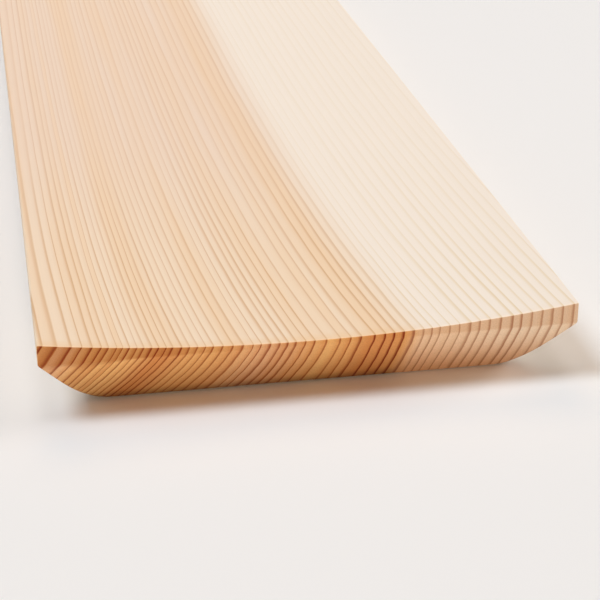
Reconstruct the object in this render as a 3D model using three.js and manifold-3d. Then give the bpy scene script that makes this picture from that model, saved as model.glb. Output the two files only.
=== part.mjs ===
// A long wooden serving plate, worked from one board of straight-grained softwood:
// the top is planed hollow across its width, every edge has an upright band with an undercut bevel
// below it, and all the edges are eased. It is one piece of wood, so it is one mesh.
//
// Millimetres, +Z up. The origin is on the table under the middle of the plate.
// +X runs across the plate and +Y along it.

import * as THREE from "three";
import { mergeVertices } from "three/addons/utils/BufferGeometryUtils.js";
import Module from "manifold-3d";

// Driving dimensions
const plateLength = 360;
const plateWidth = 120;
const rimHeight = 19.4; // from the table to the rim along the two long sides
const dishDepth = 4; // of the hollow, from rim to rim across the width
const edgeBand = 5; // upright part of the edge, below the rim
const bevelRun = 10.5; // how far every edge is cut in under the plate
const rimEase = 0.4; // the eased top edges start this far from where the sharp edge would be
const bandEase = 0.5; // the same where the upright band turns into the bevel
const footEase = 1; // the same where the bevel turns into the base
const cornerRadius = 0.4; // of the four upright corners, seen from above
const footRadius = 6; // of the corners at the bevel's foot, seen from above
const hipSharpness = 5; // the higher it is, the closer to the foot the corners turn round

// Steps along the curves
const dishSteps = 32;
const easeSteps = 4;
const bevelSteps = 6;
const cornerSteps = 6;

// How far a tool that only cuts reaches past the board
const overrun = 10;

// Points that lie closer than this are one point
const sameWithin = 1e-4;

// Sizes that follow from the driving dimensions
const halfWidth = plateWidth / 2;
const halfLength = plateLength / 2;
const bandBottom = rimHeight - edgeBand;
const dishRadius = (halfWidth ** 2 + dishDepth ** 2) / (2 * dishDepth);
const dishAxis = rimHeight - dishDepth + dishRadius; // height of the hollow's centre line
const blankTop = rimHeight + overrun; // the blank's height before it is hollowed
const toolTop = blankTop + overrun;
const toolLength = plateLength + 2 * overrun;
const toolReach = halfWidth + overrun;

const wood = new THREE.MeshStandardMaterial({
  name: "cedar",
  color: 0xeed2ac,
  roughness: 0.55,
  metalness: 0,
});

const wasm = await Module();
wasm.setup();

// A closed geometry as a solid that can be cut
function solidOf(geometry) {
  const bare = geometry.clone();
  bare.deleteAttribute("normal");
  bare.deleteAttribute("uv");
  const merged = mergeVertices(bare, sameWithin);
  return new wasm.Manifold(
    new wasm.Mesh({
      numProp: 3,
      vertProperties: new Float32Array(merged.attributes.position.array),
      triVerts: new Uint32Array(merged.index.array),
    }),
  );
}

// A solid as a geometry with one normal for each face
function geometryOf(solid) {
  const { vertProperties, triVerts } = solid.getMesh();
  const geometry = new THREE.BufferGeometry();
  geometry.setAttribute("position", new THREE.BufferAttribute(vertProperties, 3));
  geometry.setIndex(new THREE.BufferAttribute(triVerts, 1));
  const faceted = geometry.toNonIndexed();
  faceted.computeVertexNormals();
  return faceted;
}

// A closed geometry through rings of as many points each, from the lowest ring up
function lofted(rings) {
  const around = rings[0].length;
  const points = rings.flat();
  const top = points.length - around;
  const triangles = [];
  for (let row = 0; row < top; row += around) {
    for (let i = 0; i < around; i++) {
      const a = row + i;
      const b = row + ((i + 1) % around);
      triangles.push(a, b, b + around);
      triangles.push(a, b + around, a + around);
    }
  }
  for (let i = 1; i < around - 1; i++) {
    triangles.push(0, i + 1, i);
    triangles.push(top, top + i, top + i + 1);
  }
  const geometry = new THREE.BufferGeometry().setFromPoints(points);
  geometry.setIndex(triangles);
  return geometry;
}

const at = (x, y) => new THREE.Vector2(x, y);

// The point that lies a distance from one point on the way to another
function towards(from, to, distance) {
  return to.clone().sub(from).setLength(distance).add(from);
}

// Points of a curve that eases the corner between two straight lines
function eased(before, corner, after, ease) {
  const start = towards(corner, before, ease);
  const end = towards(corner, after, ease);
  return new THREE.QuadraticBezierCurve(start, corner, end).getPoints(easeSteps);
}

// The edge from the base up over the bevel and the band:
// x is how far it lies inside the plate's outline, and y is its height
function edgeProfile() {
  const middle = at(halfWidth, 0);
  const foot = at(bevelRun, 0);
  const crease = at(0, bandBottom);
  const top = at(0, blankTop);
  const footCurve = eased(middle, foot, crease, footEase);
  const creaseCurve = eased(foot, crease, top, bandEase);
  const bevel = new THREE.LineCurve(footCurve.at(-1), creaseCurve[0]).getPoints(bevelSteps);
  return [...footCurve, ...bevel.slice(1, -1), ...creaseCurve, top];
}

// The plate's outline at one point of the edge: a rectangle whose corners are rounder towards the foot
function outlineAt({ x: inset, y: height }) {
  const radius = cornerRadius + (footRadius - cornerRadius) * (inset / bevelRun) ** hipSharpness;
  const centreX = halfWidth - inset - radius;
  const centreY = halfLength - inset - radius;
  const centres = [
    at(centreX, centreY),
    at(-centreX, centreY),
    at(-centreX, -centreY),
    at(centreX, -centreY),
  ];
  const quarterTurn = Math.PI / 2;
  return centres.flatMap(({ x, y }, i) => {
    const corner = new THREE.EllipseCurve(x, y, radius, radius, i * quarterTurn, (i + 1) * quarterTurn);
    return corner.getPoints(cornerSteps).map((p) => new THREE.Vector3(p.x, p.y, height));
  });
}

// Height of the hollow's surface at a distance from the plate's middle line
function dishHeight(x) {
  return dishAxis - Math.sqrt(dishRadius ** 2 - x ** 2);
}

// The hollow's curve from right to left, between two points as far from the middle line
function dishCurve(halfSpan) {
  const swing = Math.asin(halfSpan / dishRadius);
  const straightDown = -Math.PI / 2;
  const clockwise = true;
  const arc = new THREE.EllipseCurve(
    0, dishAxis, dishRadius, dishRadius, straightDown + swing, straightDown - swing, clockwise,
  );
  return arc.getPoints(dishSteps);
}

// A view drawn in X and Z, run along Y and centred on the origin
function alongPlate(shape) {
  const tool = new THREE.ExtrudeGeometry(shape, { depth: toolLength, bevelEnabled: false });
  return tool.rotateX(Math.PI / 2).translate(0, toolLength / 2, 0);
}

// What is planed off the top, down to the hollow and the eased rims of the long sides
function hollowTool() {
  const rimInside = halfWidth - rimEase;
  const rimFoot = rimHeight - rimEase;
  const rim = new THREE.QuadraticBezierCurve(
    at(halfWidth, rimFoot),
    at(halfWidth, rimHeight),
    at(rimInside, dishHeight(rimInside)),
  ).getPoints(easeSteps);
  const otherRim = rim.map((p) => at(-p.x, p.y)).reverse();
  const hollow = dishCurve(rimInside).slice(1, -1);
  return alongPlate(
    new THREE.Shape([
      at(toolReach, toolTop),
      at(toolReach, rimFoot),
      ...rim,
      ...hollow,
      ...otherRim,
      at(-toolReach, rimFoot),
      at(-toolReach, toolTop),
    ]),
  );
}

// A plane with the hollow's curve, tilted to take the sharp edge off the near end's top.
// Its cut touches a round of radius rimEase, which is tangent to the hollow and to the end.
function endEaseTool(tilt) {
  const slope = Math.tan(tilt);
  const drop = rimEase * (1 + slope - 1 / Math.cos(tilt));
  const shear = new THREE.Matrix4().set(
    1, 0, 0, 0,
    0, 1, 0, 0,
    0, slope, 1, slope * halfLength - drop,
    0, 0, 0, 1,
  );
  const plane = new THREE.Shape([
    at(toolReach, toolTop),
    ...dishCurve(toolReach),
    at(-toolReach, toolTop),
  ]);
  return alongPlate(plane).applyMatrix4(shear);
}

function plateGeometry() {
  let board = solidOf(lofted(edgeProfile().map(outlineAt)));
  board = board.subtract(solidOf(hollowTool()));
  for (let step = 1; step < easeSteps; step++) {
    const tool = endEaseTool((step / easeSteps) * (Math.PI / 2));
    board = board.subtract(solidOf(tool));
    board = board.subtract(solidOf(tool.rotateZ(Math.PI)));
  }
  return geometryOf(board);
}

const group = new THREE.Group();
group.name = "wooden_plate";

const plate = new THREE.Mesh(plateGeometry(), wood);
plate.name = "plate_board";
group.add(plate);

export default group;
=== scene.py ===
import math
from types import SimpleNamespace
from typing import NamedTuple

import bmesh
import bpy
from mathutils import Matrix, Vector


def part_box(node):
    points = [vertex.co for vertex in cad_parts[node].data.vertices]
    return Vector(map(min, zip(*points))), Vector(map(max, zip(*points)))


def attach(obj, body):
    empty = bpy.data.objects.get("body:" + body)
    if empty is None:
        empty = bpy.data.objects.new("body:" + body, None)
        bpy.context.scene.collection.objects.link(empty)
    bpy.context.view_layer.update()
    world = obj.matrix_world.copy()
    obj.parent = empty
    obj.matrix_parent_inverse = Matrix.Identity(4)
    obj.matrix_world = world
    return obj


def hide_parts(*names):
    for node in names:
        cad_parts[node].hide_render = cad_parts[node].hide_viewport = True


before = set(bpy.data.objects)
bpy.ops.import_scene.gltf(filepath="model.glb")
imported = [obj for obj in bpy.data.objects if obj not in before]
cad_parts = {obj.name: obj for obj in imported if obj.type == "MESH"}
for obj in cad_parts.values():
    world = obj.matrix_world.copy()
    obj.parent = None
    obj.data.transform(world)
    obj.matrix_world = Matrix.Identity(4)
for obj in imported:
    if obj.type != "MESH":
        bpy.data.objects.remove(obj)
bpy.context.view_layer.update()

# The looks of a long wooden plate: one board of straight-grained cedar, hollowed across its width.
# Metres, in the solid's frame: +X across the plate, +Y along it and along the grain, +Z up.

MM = 0.001


def srgb(red, green, blue):
    """A colour written as it looks on a screen, from 0 to 255, for a shader."""
    def linear(level):
        level /= 255
        if level <= 0.04045:
            return level / 12.92
        return ((level + 0.055) / 1.055) ** 2.4

    return (linear(red), linear(green), linear(blue), 1.0)


# The plate's outside comes from the frame, and its section repeats the solid's sizes
low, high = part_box("plate_board")
half_width = (high.x - low.x) / 2
half_length = (high.y - low.y) / 2
rim_height = high.z - low.z
DISH_DEPTH = 4.0 * MM
EDGE_BAND = 5.0 * MM
BEVEL_RUN = 10.5 * MM
RIM_EASE = 0.4 * MM
BAND_EASE = 0.5 * MM
FOOT_EASE = 1.0 * MM
CORNER_RADIUS = 0.4 * MM
FOOT_RADIUS = 6.0 * MM
HIP_SHARPNESS = 5  # the higher it is, the closer to the foot the corners turn round
band_bottom = rim_height - EDGE_BAND
hollow_floor = rim_height - DISH_DEPTH
dish_radius = (half_width**2 + DISH_DEPTH**2) / (2 * DISH_DEPTH)

# Mesh steps
STEPS_ACROSS = 80
STEPS_ALONG = 60
STEPS_CORNER = 8
STEPS_BEVEL = 12
STEPS_EASE = 8
SUPPORT = 0.25 * MM  # a row of faces this wide keeps the flats flat beside an eased edge
SAME_POINT = 1e-7  # points that lie closer are one point
NO_LENGTH = 1e-8  # edges that are shorter are taken out

# Islands of the map: left, bottom, right, top. The rings are fine across the plate and run along it,
# so the map has more room across than along.
TOP_ISLAND = (0.01, 0.01, 0.99, 0.44)
BASE_ISLAND = (0.01, 0.46, 0.99, 0.64)
NEAR_ISLAND = (0.01, 0.66, 0.93, 0.77)
FAR_ISLAND = (0.01, 0.79, 0.93, 0.90)
LEFT_ISLAND = (0.01, 0.92, 0.49, 0.99)
RIGHT_ISLAND = (0.51, 0.92, 0.99, 0.99)
CORNER_ISLAND_WIDTH = 0.012
CORNER_ISLAND_GAP = 0.015

# Growth rings: places in millimetres from the near left edge, with the ring counted there
RING_COUNTS = (
    (-12, -3.4),
    (0, 0.3),
    (10, 3.7),
    (20, 9.7),
    (36, 19.0),
    (48, 24.8),
    (62, 31.6),
    (76, 37.0),
    (92, 44.6),
    (119, 56.0),
    (140, 65.5),
)
UNEVEN_BY = 0.45  # of a year's growth
UNEVEN_PACE = 0.6  # swings for each year
LEAN_LEFT = 0.66  # how far a ring leans to the right for each step up, at the left edge
LEAN_RIGHT = 0.04
LEAN_ENDS_AT = 85
DRIFT = 11.5  # how far the rings drift to the left along the plate
DRIFT_LENGTH = 82
DRIFT_MIDDLE = 65
DRIFT_FALLOFF = 0.6
WANDER = 0.35  # how far a ring strays from its path
WANDER_WIDTH = 14
WANDER_LENGTH = 70
RAGGED = 0.12  # how far its line is ragged
RAGGED_WIDTH = 2.5
RAGGED_LENGTH = 25
BOW = 0.45  # how far the rings bow to the right, halfway down the bevels

# Late growth, as a share of the year: where the broadest and the thinnest dark lines start, and where all
# of them peak. They look broader and more uneven where the board is cut along its grain than across it.
STARTS_ALONG = (0.48, 0.78)
STARTS_ACROSS = (0.52, 0.76)
LINE_PEAK = 0.92
FAINTEST_ALONG = 0.62
FAINTEST_ACROSS = 0.72
SHADE_ALONG = (0.25, 1)  # where in the year the wood starts to darken, and where it is darkest
SHADE_ACROSS = (0.1, 0.9)

# Zones of the wood, in the same places as the rings
RESIN_STREAKS = ((27, 6), (75, 11))  # middles and half widths
PINK_STREAKS = ((4, 8), (51, 14))
SAPWOOD_STARTS_AT = 82
SAPWOOD_BLENDS_ALONG = (-6, 6)  # from where to where it blends in, seen from its start
SAPWOOD_BLENDS_ACROSS = (-2, 3)
PALE_SAPWOOD_STARTS_AT = 112
STAIN_FADES = (20, 50)  # the stain on the upright bands is full up to here, and faintest from here
RUNS_FADE = (10, 22)  # the stain runs down the rings up to here, and not from here

# Zones along the plate and up from the table, in millimetres
FIGURE_FADES = (20, 155)  # along the plate, where the figure starts to grow fainter and is faintest
SAP_LINES_FADE = (0, 60)  # the same for the sapwood's lines, on top of that
SOAKED = 4  # how far from the ends the faces along the grain are yellowed
STAIN_BLUR = 0.4  # how far the stain's lower edge is blurred to either side
STAIN_RUNS = 4  # how far the stain runs down a ring, at most
CONTACT_SHADOW_HEIGHT = 3.5  # height of the painted contact shadow along the foot
# painted shade: the end grain darkens towards the foot below this height
FOOT_SHADE_BELOW = 14

# Sizes of the figure between the rings, in millimetres
STREAK_WIDTH = 5
STREAK_LENGTH = 160
FIBRE_WIDTH = 0.25
FIBRE_LENGTH = 14
PORE_WIDTH = 0.3
PORE_LENGTH = 1.2

# Seeds of the numbers that are drawn for each ring
START_SEED = 9.5
STRENGTH_SEED = 3.5
TINT_SEED = 11.5
FADING_SEED = 17.5
RUN_SEED = 23.5
NOISE_SLICE = 0.5  # the place in noise along a direction in which it stays the same

# Colours of the wood along its grain
HEART = srgb(240, 220, 196)
HEART_WARM = srgb(237, 205, 168)
HEART_LINE = srgb(194, 138, 72)
SAP = srgb(243, 233, 221)
SAP_LINE = srgb(218, 193, 142)
HEART_FADED = srgb(233, 211, 196)
SOAKED_WOOD = srgb(232, 188, 132)

# Colours of the wood across its grain
HEART_END = srgb(230, 183, 119)
HEART_END_PINK = srgb(218, 174, 137)
HEART_END_RESIN = srgb(205, 140, 82)
HEART_END_LATE = srgb(200, 121, 63)
HEART_END_LINE = srgb(124, 40, 4)
SAP_END = srgb(227, 195, 162)
SAP_END_PALE = srgb(224, 203, 178)
SAP_END_FOOT = srgb(240, 176, 126)
SAP_END_LATE = srgb(206, 163, 124)
SAP_END_LINE = srgb(140, 78, 42)
STAINED_END = srgb(160, 94, 38)

# Shares of what is mixed into the colours where the board is cut along its grain
ALONG = SimpleNamespace(
    faded_heart=0.6,
    faded_line=(0.56, 0.86),  # of the line that fades least, and of the one that fades most
    warm_ring=0.3,
    warm_resin=0.5,
    warm_streak=0.6,
    faded_warmth=0.25,
    heart_line=0.53,
    heart_shade=0.1,
    faded_sap_line=0.5,
    sap_line=0.6,
    sap_shade=0.05,
    soaked_heart=0.3,
    soaked_sap=0.08,
)

# Shares of what is mixed into the colours where the board is cut across its grain
ACROSS = SimpleNamespace(
    pink=0.8,
    resin=0.8,
    resin_ring=0.45,
    heart_shade=0.45,
    faded_stain=0.85,
    heart_stain=0.52,
    stain_shade=0.25,
    heart_line=0.82,
    resin_line=0.34,
    stain_line=0.2,
    sap_foot=0.65,
    sap_stain=0.24,
    sap_shade=0.35,
    sap_line=0.74,
    # painted contact shadow along the foot
    painted_contact_shadow=0.5,
    # painted shade that darkens the end grain towards the foot
    foot=0.33,
)

# The wood's surface
END_GRAIN_SHOWS = (0.38, 0.73)  # how squarely cut a face is where end grain starts, and where it is full
TOP_STAYS_PALE = 0.35  # a face that looks up counts as this much less squarely cut, so the top edges stay pale: partly sanded wood, partly a painted highlight
FIBRE_MOTTLE = 0.03
PORE_MOTTLE = 0.2
FIBRE_DETAIL = 3.0
FIBRE_RELIEF = 0.4  # against the pores
LINE_RELIEF = 0.5
BUMP_HEIGHT = 0.03 * MM
BUMP_STRENGTH = 0.25
ROUGHNESS = 0.56
ROUGHER_ENDS = 0.14
ROUGHER_FIBRES = 0.04
SPECULAR_LEVEL = 0.16

# The camera, fitted to the plate's edges in the photograph: place from the near left corner
CAMERA_PLACE = Vector((-5.88, -336.76, 180.96)) * MM
CAMERA_TILT = math.radians(24.45)
CAMERA_TURN = math.radians(10.53)
PICTURE_SIZE = 600
FOCAL_LENGTH_PIXELS = 1748
SENSOR_WIDTH = 36.0  # in millimetres

# Lamps: name, level, way to the lamp, how wide it looks, and colour.
# The level is what it gives a surface that faces it, as a share of full light.
COOL_LIGHT = (0.84, 0.926, 1.0)
MILD_LIGHT = (1.0, 0.92, 0.85)
WARM_LIGHT = (1.0, 0.75, 0.52)
AMBER_LIGHT = (1.0, 0.6, 0.3)
LAMPS = (
    ("top", 0.114, Vector((0.0, -0.1, 1.0)), math.radians(20), COOL_LIGHT),
    ("left", 0.52, Vector((-0.56, -0.1, 1.0)), math.radians(24), COOL_LIGHT),
    ("low_left", 0.115, Vector((-1.0, 0.2, 0.5)), math.radians(36), COOL_LIGHT),
    ("right", 0.40, Vector((2.1, 0.15, 1.0)), math.radians(24), MILD_LIGHT),
    ("back", 0.19, Vector((0.0, 0.84, 1.0)), math.radians(30), AMBER_LIGHT),
    ("front", 0.505, Vector((0.0, -1.0, 0.21)), math.radians(10), WARM_LIGHT),
)

# Floor and room
FLOOR_COLOUR = srgb(240, 241, 242)
FLOOR_ROUGHNESS = 0.9
FLOOR_REACH = 4.0
FLOOR_DROP = 0.02 * MM  # keeps the floor clear of the plate's base
ROOM_COLOUR = srgb(246, 243, 240)
ROOM_LEVEL = 0.06


def add_object(name, data):
    """A new object in the scene."""
    new_object = bpy.data.objects.new(name, data)
    bpy.context.scene.collection.objects.link(new_object)
    return new_object


# The plate's mesh


class EdgeRow(NamedTuple):
    """One line of points round the plate's edge."""

    inset: float  # how far it lies inside the plate's outline
    radius: float  # of its corners, seen from above
    height: float
    follow: int  # 1 where it follows the hollow's curve, and 0 where it is level


def dish_drop(x):
    """How far the hollowed top lies below the rim at a distance from the middle line."""
    return DISH_DEPTH - dish_radius + math.sqrt(dish_radius**2 - x**2)


def spaced(start, end, steps):
    """Evenly spaced numbers from start to end."""
    return [start + (end - start) * step / steps for step in range(steps + 1)]


def turn(start, corner, end, steps):
    """Points of a curve that eases a corner, from start to end."""
    points = []
    for step in range(steps + 1):
        t = step / steps
        points.append(start * (1 - t) ** 2 + corner * 2 * t * (1 - t) + end * t**2)
    return points


def edge_profile():
    """The rows of the plate's edge, from the base out over the bevel and the band to the top."""
    foot = Vector((BEVEL_RUN, 0))
    crease = Vector((0, band_bottom))
    up_bevel = (crease - foot).normalized()
    foot_curve = turn(foot + Vector((FOOT_EASE, 0)), foot, foot + up_bevel * FOOT_EASE, STEPS_EASE)
    band_curve = turn(crease - up_bevel * BAND_EASE, crease, crease + Vector((0, BAND_EASE)), STEPS_EASE)
    bevel = [foot_curve[-1].lerp(band_curve[0], step / STEPS_BEVEL) for step in range(1, STEPS_BEVEL)]

    rows = [EdgeRow(BEVEL_RUN + FOOT_EASE + FOOT_RADIUS, 0, 0, 0)]
    for point in foot_curve + bevel + band_curve:
        radius = CORNER_RADIUS + (FOOT_RADIUS - CORNER_RADIUS) * (point.x / BEVEL_RUN) ** HIP_SHARPNESS
        rows.append(EdgeRow(point.x, radius, point.y, 0))
    for angle in spaced(0, math.pi / 2, STEPS_EASE):
        inset = RIM_EASE * (1 - math.cos(angle))
        height = rim_height - RIM_EASE * (1 - math.sin(angle))
        rows.append(EdgeRow(inset, max(0, CORNER_RADIUS - inset), height, 1))
    top_inset = max(RIM_EASE + SUPPORT, CORNER_RADIUS)
    rows.append(EdgeRow(top_inset, 0, rim_height, 1))
    return rows


def on_row(row, x, y):
    """A row's point above a place on the table."""
    drop = row.follow * dish_drop(min(abs(x), half_width))
    return Vector((x, y, row.height - drop))


def end_points(row, side):
    """A row's points along the near end (side -1) or the far end (side 1)."""
    reach = half_width - row.inset - row.radius
    return [on_row(row, x, side * (half_length - row.inset)) for x in spaced(-reach, reach, STEPS_ACROSS)]


def side_points(row, side):
    """A row's points along the left side (side -1) or the right side (side 1)."""
    reach = half_length - row.inset - row.radius
    return [on_row(row, side * (half_width - row.inset), y) for y in spaced(-reach, reach, STEPS_ALONG)]


def corner_points(row, side_x, side_y):
    """A row's points round one upright corner."""
    centre_x = half_width - row.inset - row.radius
    centre_y = half_length - row.inset - row.radius
    points = []
    for angle in spaced(0, math.pi / 2, STEPS_CORNER):
        x = side_x * (centre_x + row.radius * math.sin(angle))
        y = side_y * (centre_y + row.radius * math.cos(angle))
        points.append(on_row(row, x, y))
    return points


def flat_rows(row):
    """The grid that closes the plate inside a row, over the hollow or under the base."""
    reach_x = half_width - row.inset
    reach_y = half_length - row.inset
    return [
        [on_row(row, x, y) for x in spaced(-reach_x, reach_x, STEPS_ACROSS)]
        for y in spaced(-reach_y, reach_y, STEPS_ALONG)
    ]


def add_sheet(mesh, map_layer, rows, island):
    """Adds a sheet of faces through rows of points and lays it on its island of the map."""
    left, bottom, right, top = island
    verts = [[mesh.verts.new(point) for point in row] for row in rows]
    lengths = [0]
    for before, after in zip(rows, rows[1:]):
        middle = len(before) // 2
        lengths.append(lengths[-1] + (after[middle] - before[middle]).length)
    across = len(rows[0]) - 1

    def place(i, j):
        return (
            left + (right - left) * i / across,
            bottom + (top - bottom) * lengths[j] / lengths[-1],
        )

    for j in range(len(rows) - 1):
        for i in range(across):
            corners = ((i, j), (i + 1, j), (i + 1, j + 1), (i, j + 1))
            face = mesh.faces.new([verts[row][column] for column, row in corners])
            for loop, corner in zip(face.loops, corners):
                loop[map_layer].uv = place(*corner)


def make_plate():
    mesh = bmesh.new()
    map_layer = mesh.loops.layers.uv.new("OFBake")
    rows = edge_profile()
    add_sheet(mesh, map_layer, flat_rows(rows[-1]), TOP_ISLAND)
    add_sheet(mesh, map_layer, flat_rows(rows[0]), BASE_ISLAND)
    for side, island in ((-1, NEAR_ISLAND), (1, FAR_ISLAND)):
        add_sheet(mesh, map_layer, [end_points(row, side) for row in rows], island)
        bottom, right, top = island[1:]
        for side_x in (-1, 1):
            left = right + CORNER_ISLAND_GAP
            right = left + CORNER_ISLAND_WIDTH
            corner = [corner_points(row, side_x, side) for row in rows]
            add_sheet(mesh, map_layer, corner, (left, bottom, right, top))
    for side, island in ((-1, LEFT_ISLAND), (1, RIGHT_ISLAND)):
        add_sheet(mesh, map_layer, [side_points(row, side) for row in rows], island)
    bmesh.ops.remove_doubles(mesh, verts=mesh.verts, dist=SAME_POINT)
    bmesh.ops.dissolve_degenerate(mesh, edges=mesh.edges, dist=NO_LENGTH)
    bmesh.ops.recalc_face_normals(mesh, faces=mesh.faces)
    data = bpy.data.meshes.new("cedar_plate")
    mesh.to_mesh(data)
    mesh.free()
    for face in data.polygons:
        face.use_smooth = True
    return add_object("cedar_plate", data)


# Shader nodes as plain arithmetic


class Field:
    """A number that varies over a surface: a node's output that takes part in arithmetic."""

    def __init__(self, tree, socket):
        self.tree = tree
        self.socket = socket

    def __add__(self, other):
        return self.tree.math("ADD", self, other)

    def __sub__(self, other):
        return self.tree.math("SUBTRACT", self, other)

    def __rsub__(self, other):
        return self.tree.math("SUBTRACT", other, self)

    def __mul__(self, other):
        return self.tree.math("MULTIPLY", self, other)

    def __truediv__(self, other):
        return self.tree.math("DIVIDE", self, other)

    def __neg__(self):
        return self.tree.math("MULTIPLY", self, -1)

    def __abs__(self):
        return self.tree.math("ABSOLUTE", self)

    __radd__ = __add__
    __rmul__ = __mul__


class Tree:
    """A node tree that is written as formulas."""

    def __init__(self, node_tree):
        self.nodes = node_tree.nodes
        self.links = node_tree.links
        self.nodes.clear()

    def node(self, kind, inputs=None, **settings):
        node = self.nodes.new("ShaderNode" + kind)
        for name, value in settings.items():
            setattr(node, name, value)
        for name, value in (inputs or {}).items():
            self.feed(node.inputs[name], value)
        return node

    def feed(self, socket, value):
        """Links a varying value to a socket, or sets a plain one on it."""
        if isinstance(value, Field):
            self.links.new(value.socket, socket)
        else:
            socket.default_value = value

    def out(self, node, name=0):
        return Field(self, node.outputs[name])

    def math(self, operation, *values):
        return self.out(self.node("Math", dict(enumerate(values)), operation=operation))

    def smooth(self, value, start, end):
        """0 below start, 1 above end, and an S curve between."""
        inputs = {"Value": value, "From Min": start, "From Max": end}
        return self.out(self.node("MapRange", inputs, interpolation_type="SMOOTHSTEP"))

    def bump_at(self, value, middle, half):
        """1 at a middle value, falling to 0 at half to either side."""
        return 1 - self.smooth(abs(value - middle), 0, half)

    def vector(self, x, y, z):
        return self.out(self.node("CombineXYZ", {"X": x, "Y": y, "Z": z}))

    def noise(self, vector, detail=2.0):
        """Soft noise from -1 to 1, about one swing for each unit."""
        inputs = {"Vector": vector, "Scale": 1.0, "Detail": detail}
        return self.out(self.node("TexNoise", inputs), "Fac") * 2 - 1

    def random(self, number, seed):
        """A number from 0 to 1, drawn for each whole number."""
        node = self.node("TexWhiteNoise", {"W": number + seed}, noise_dimensions="1D")
        return self.out(node, "Value")

    def curve(self, value, points):
        """A smooth curve through points of (value, result)."""
        first, last = points[0], points[-1]
        node = self.node("FloatCurve")
        knots = node.mapping.curves[0].points
        # A new curve runs from (0, 0) to (1, 1), which stand for the first and the last point
        for point in points[1:-1]:
            knots.new(*[(p - a) / (b - a) for p, a, b in zip(point, first, last)])
        node.mapping.update()
        self.feed(node.inputs["Value"], (value - first[0]) / (last[0] - first[0]))
        return self.out(node) * (last[1] - first[1]) + first[1]

    def mix(self, share, first, second):
        """A colour between two colours."""
        node = self.node("Mix", data_type="RGBA", clamp_factor=True)
        self.feed(node.inputs["Factor"], share)
        for name, colour in (("A", first), ("B", second)):
            socket = next(s for s in node.inputs if s.name == name and s.type == "RGBA")
            self.feed(socket, colour)
        result = next(s for s in node.outputs if s.type == "RGBA")
        return Field(self, result)

    def scaled(self, colour, factor):
        """A colour made lighter or darker."""
        node = self.node("VectorMath", operation="SCALE")
        self.feed(node.inputs[0], colour)
        self.feed(node.inputs["Scale"], factor)
        return self.out(node)


# The wood


def ring_figure(tree):
    """Where a point lies in the board, in which year's growth, and how squarely the grain is cut there."""
    coordinates = tree.node("TexCoord")
    point = tree.node("SeparateXYZ", {"Vector": tree.out(coordinates, "Object")})
    u = (tree.out(point, "X") - low.x) / MM
    v = (tree.out(point, "Y") - low.y) / MM
    height = (tree.out(point, "Z") - low.z) / MM
    z = height - hollow_floor / MM
    facing = tree.node("SeparateXYZ", {"Vector": tree.out(coordinates, "Normal")})

    lean = LEAN_RIGHT + (LEAN_LEFT - LEAN_RIGHT) * (1 - tree.smooth(u, 0, LEAN_ENDS_AT))
    off_middle = (u - DRIFT_MIDDLE) / DRIFT_MIDDLE
    drift = (1 - DRIFT_FALLOFF * off_middle * off_middle) * DRIFT
    drift = drift * (1 - tree.math("EXPONENT", -v / DRIFT_LENGTH))
    wander = tree.noise(tree.vector(u / WANDER_WIDTH, v / WANDER_LENGTH, z / WANDER_WIDTH)) * WANDER
    ragged = tree.noise(tree.vector(u / RAGGED_WIDTH, v / RAGGED_LENGTH, z / RAGGED_WIDTH)) * RAGGED
    below_crease = tree.math("MAXIMUM", band_bottom / MM - height, 0)
    bow = tree.math("SINE", below_crease * (math.pi * MM / band_bottom)) * BOW
    place = u + drift - z * lean + wander + ragged - bow

    count = tree.curve(place, RING_COUNTS)
    uneven = tree.noise(tree.vector(count * UNEVEN_PACE, NOISE_SLICE, NOISE_SLICE), detail=1.0)
    count = count + uneven * UNEVEN_BY
    ring = tree.math("FLOOR", count)
    return SimpleNamespace(
        u=u, v=v, z=z, height=height, place=place, ring=ring, phase=count - ring,
        cut=abs(tree.out(facing, "Y")), up=tree.out(facing, "Z"),
    )


def late_growth(tree, figure, starts, faintest):
    """The dark line of each year, from 0 to 1: it darkens slowly and stops sharply."""
    broadest, thinnest = starts
    start = broadest + tree.random(figure.ring, START_SEED) * (thinnest - broadest)
    strength = faintest + tree.random(figure.ring, STRENGTH_SEED) * (1 - faintest)
    rise = tree.smooth(figure.phase, start, LINE_PEAK)
    return rise * (1 - tree.smooth(figure.phase, LINE_PEAK, 1)) * strength


def streaks_at(tree, figure, streaks):
    """1 in the middle of either of two streaks, and 0 outside them."""
    shares = [tree.bump_at(figure.place, middle, half) for middle, half in streaks]
    return tree.math("MAXIMUM", *shares)


def sapwood_share(tree, figure, blend):
    """0 in the heartwood and 1 in the sapwood."""
    start, end = blend
    return tree.smooth(figure.place, SAPWOOD_STARTS_AT + start, SAPWOOD_STARTS_AT + end)


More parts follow.
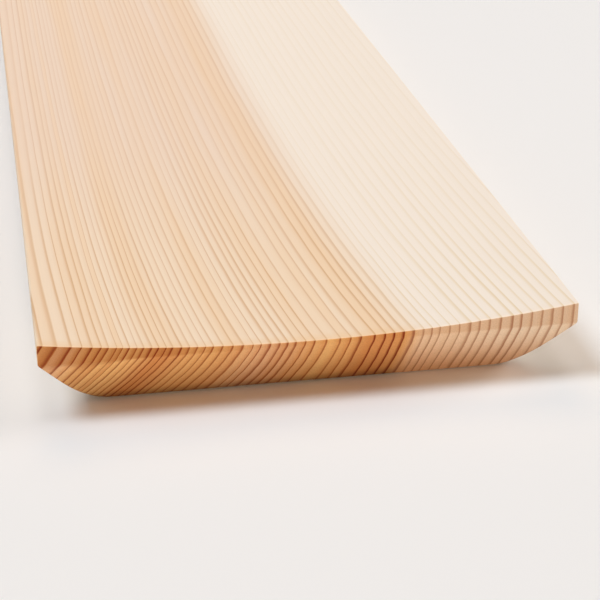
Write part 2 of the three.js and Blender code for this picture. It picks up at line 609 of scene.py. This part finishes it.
def along_grain(tree, figure):
    """The colour where the board is cut along its grain."""
    fading = tree.smooth(figure.v, *FIGURE_FADES)
    fades_least, fades_most = ALONG.faded_line
    line_fades_by = fades_least + tree.random(figure.ring, FADING_SEED) * (fades_most - fades_least)
    line = late_growth(tree, figure, STARTS_ALONG, FAINTEST_ALONG) * (1 - fading * line_fades_by)
    shade = tree.smooth(figure.phase, *SHADE_ALONG)
    tint = tree.random(figure.ring, TINT_SEED)
    resin = streaks_at(tree, figure, RESIN_STREAKS)
    streak = tree.noise(tree.vector(figure.place / STREAK_WIDTH, figure.v / STREAK_LENGTH, NOISE_SLICE))

    heart = tree.mix(fading * ALONG.faded_heart, HEART, HEART_FADED)
    warmth = tint * ALONG.warm_ring + resin * ALONG.warm_resin + streak * ALONG.warm_streak
    heart = tree.mix(warmth * (1 - fading * ALONG.faded_warmth), heart, HEART_WARM)
    heart = tree.mix(line * ALONG.heart_line + shade * ALONG.heart_shade, heart, HEART_LINE)

    sap_line = line * (1 - tree.smooth(figure.v, *SAP_LINES_FADE) * ALONG.faded_sap_line)
    sap = tree.mix(sap_line * ALONG.sap_line + shade * ALONG.sap_shade, SAP, SAP_LINE)

    sap_share = sapwood_share(tree, figure, SAPWOOD_BLENDS_ALONG)
    wood = tree.mix(sap_share, heart, sap)
    from_end = half_length / MM - abs(figure.v - half_length / MM)
    soaked = 1 - tree.smooth(from_end, 0, SOAKED)
    soaked_by = ALONG.soaked_heart + sap_share * (ALONG.soaked_sap - ALONG.soaked_heart)
    return tree.mix(soaked * soaked_by, wood, SOAKED_WOOD)


def across_grain(tree, figure):
    """The colour where the board is cut across its grain, stained on the upright bands, with painted shade
    towards the foot and a painted contact shadow along it.
    """
    line = late_growth(tree, figure, STARTS_ACROSS, FAINTEST_ACROSS)
    shade = tree.smooth(figure.phase, *SHADE_ACROSS)
    tint = tree.random(figure.ring, TINT_SEED)
    resin = streaks_at(tree, figure, RESIN_STREAKS)
    pink = streaks_at(tree, figure, PINK_STREAKS)
    run_share = tree.random(figure.ring, RUN_SEED) * (1 - tree.smooth(figure.place, *RUNS_FADE))
    crease = band_bottom / MM
    stain_ends = crease - STAIN_BLUR - run_share * STAIN_RUNS
    stain = tree.smooth(figure.height, stain_ends, crease + STAIN_BLUR)
    # Painted shade: darker towards the foot; the same share also turns the sapwood more orange there
    foot = 1 - tree.smooth(figure.height, 0, FOOT_SHADE_BELOW)
    # Painted contact shadow: the heartwood darkens along the foot where it meets the table
    painted_contact_shadow = 1 - tree.smooth(figure.height, 0, CONTACT_SHADOW_HEIGHT)

    heart = tree.mix(pink * ACROSS.pink, HEART_END, HEART_END_PINK)
    heart = tree.mix(resin * ACROSS.resin + tint * ACROSS.resin_ring, heart, HEART_END_RESIN)
    heart = tree.mix(shade * ACROSS.heart_shade, heart, HEART_END_LATE)
    heart_stain = stain * (1 - tree.smooth(figure.place, *STAIN_FADES) * ACROSS.faded_stain)
    heart = tree.mix(heart_stain * (ACROSS.heart_stain + shade * ACROSS.stain_shade), heart, STAINED_END)
    line_share = ACROSS.heart_line + resin * ACROSS.resin_line + heart_stain * ACROSS.stain_line
    heart = tree.mix(line * line_share, heart, HEART_END_LINE)
    # painted contact shadow along the foot
    heart = tree.scaled(heart, 1 - painted_contact_shadow * ACROSS.painted_contact_shadow)

    pale = tree.smooth(figure.place, SAPWOOD_STARTS_AT, PALE_SAPWOOD_STARTS_AT)
    sap = tree.mix(pale, SAP_END, SAP_END_PALE)
    sap = tree.mix(foot * ACROSS.sap_foot, sap, SAP_END_FOOT)
    sap = tree.mix(stain * ACROSS.sap_stain, sap, STAINED_END)
    sap = tree.mix(shade * ACROSS.sap_shade, sap, SAP_END_LATE)
    sap = tree.mix(line * ACROSS.sap_line, sap, SAP_END_LINE)

    wood = tree.mix(sapwood_share(tree, figure, SAPWOOD_BLENDS_ACROSS), heart, sap)
    # painted shade towards the foot
    return tree.scaled(wood, 1 - foot * ACROSS.foot)


def cedar_material():
    material = bpy.data.materials.new("cedar")
    material.use_nodes = True
    tree = Tree(material.node_tree)
    figure = ring_figure(tree)
    u, v, z = figure.u, figure.v, figure.z
    line = late_growth(tree, figure, STARTS_ALONG, FAINTEST_ALONG)
    fibre_place = tree.vector(u / FIBRE_WIDTH, v / FIBRE_LENGTH, z / FIBRE_WIDTH)
    fibre = tree.noise(fibre_place, detail=FIBRE_DETAIL)
    pores = tree.noise(tree.vector(u / PORE_WIDTH, v / PORE_LENGTH, z / PORE_WIDTH))

    # The sanded edges round the top stay pale, partly as sanded wood and partly as a painted highlight,
    # and the foot's are as dark as the bevels
    end_share = tree.smooth(figure.cut - figure.up * TOP_STAYS_PALE, *END_GRAIN_SHOWS)
    side_share = 1 - end_share
    colour = tree.mix(end_share, along_grain(tree, figure), across_grain(tree, figure))
    mottle = 1 + fibre * FIBRE_MOTTLE * side_share + pores * PORE_MOTTLE * end_share
    relief = fibre * FIBRE_RELIEF * side_share + pores * end_share + line * LINE_RELIEF
    bump = tree.node("Bump", {"Height": relief, "Strength": BUMP_STRENGTH, "Distance": BUMP_HEIGHT})
    surface = tree.node("BsdfPrincipled", {
        "Base Color": tree.scaled(colour, mottle),
        "Roughness": ROUGHNESS + end_share * ROUGHER_ENDS + fibre * ROUGHER_FIBRES,
        "Specular IOR Level": SPECULAR_LEVEL,
        "Normal": tree.out(bump),
    })
    output = tree.node("OutputMaterial")
    tree.links.new(surface.outputs[0], output.inputs["Surface"])
    return material


# Floor, light and camera


def make_floor():
    near, far = -FLOOR_REACH, FLOOR_REACH
    data = bpy.data.meshes.new("floor")
    corners = [(near, near, 0), (far, near, 0), (far, far, 0), (near, far, 0)]
    data.from_pydata(corners, [], [(0, 1, 2, 3)])
    floor = add_object("floor", data)
    floor.location.z = low.z - FLOOR_DROP
    material = bpy.data.materials.new("pale_floor")
    material.use_nodes = True
    surface = material.node_tree.nodes["Principled BSDF"]
    surface.inputs["Base Color"].default_value = FLOOR_COLOUR
    surface.inputs["Roughness"].default_value = FLOOR_ROUGHNESS
    surface.inputs["Specular IOR Level"].default_value = 0.0
    data.materials.append(material)


def make_sun(name, level, towards, spread, colour):
    """A distant light that gives a level to a surface that faces it."""
    data = bpy.data.lights.new(name, "SUN")
    data.energy = math.pi * level
    data.color = colour
    data.angle = spread
    sun = add_object(name, data)
    sun.rotation_euler = towards.to_track_quat("Z", "Y").to_euler()
    sun.location = towards


def make_room():
    """A dim room that looks white where it is seen or mirrored."""
    world = bpy.data.worlds.new("room")
    world.use_nodes = True
    bpy.context.scene.world = world
    tree = Tree(world.node_tree)
    path = tree.node("LightPath")
    seen = tree.math("MAXIMUM", tree.out(path, "Is Camera Ray"), tree.out(path, "Is Glossy Ray"))
    seen = tree.math("MAXIMUM", seen, tree.out(path, "Is Transmission Ray"))
    strength = ROOM_LEVEL + seen * (1 - ROOM_LEVEL)
    background = tree.node("Background", {"Color": ROOM_COLOUR, "Strength": strength})
    output = tree.node("OutputWorld")
    tree.links.new(background.outputs[0], output.inputs["Surface"])


def make_camera():
    data = bpy.data.cameras.new("photo_view")
    data.sensor_width = SENSOR_WIDTH
    data.lens = SENSOR_WIDTH * FOCAL_LENGTH_PIXELS / PICTURE_SIZE
    camera = add_object("photo_view", data)
    camera.location = low + CAMERA_PLACE
    camera.rotation_euler = (math.pi / 2 - CAMERA_TILT, 0, -CAMERA_TURN)
    bpy.context.scene.camera = camera


plate = make_plate()
plate.data.materials.append(cedar_material())
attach(plate, "root")
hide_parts("plate_board")

make_floor()
for lamp in LAMPS:
    make_sun(*lamp)
make_room()
make_camera()
bpy.context.scene.view_settings.view_transform = "Standard"
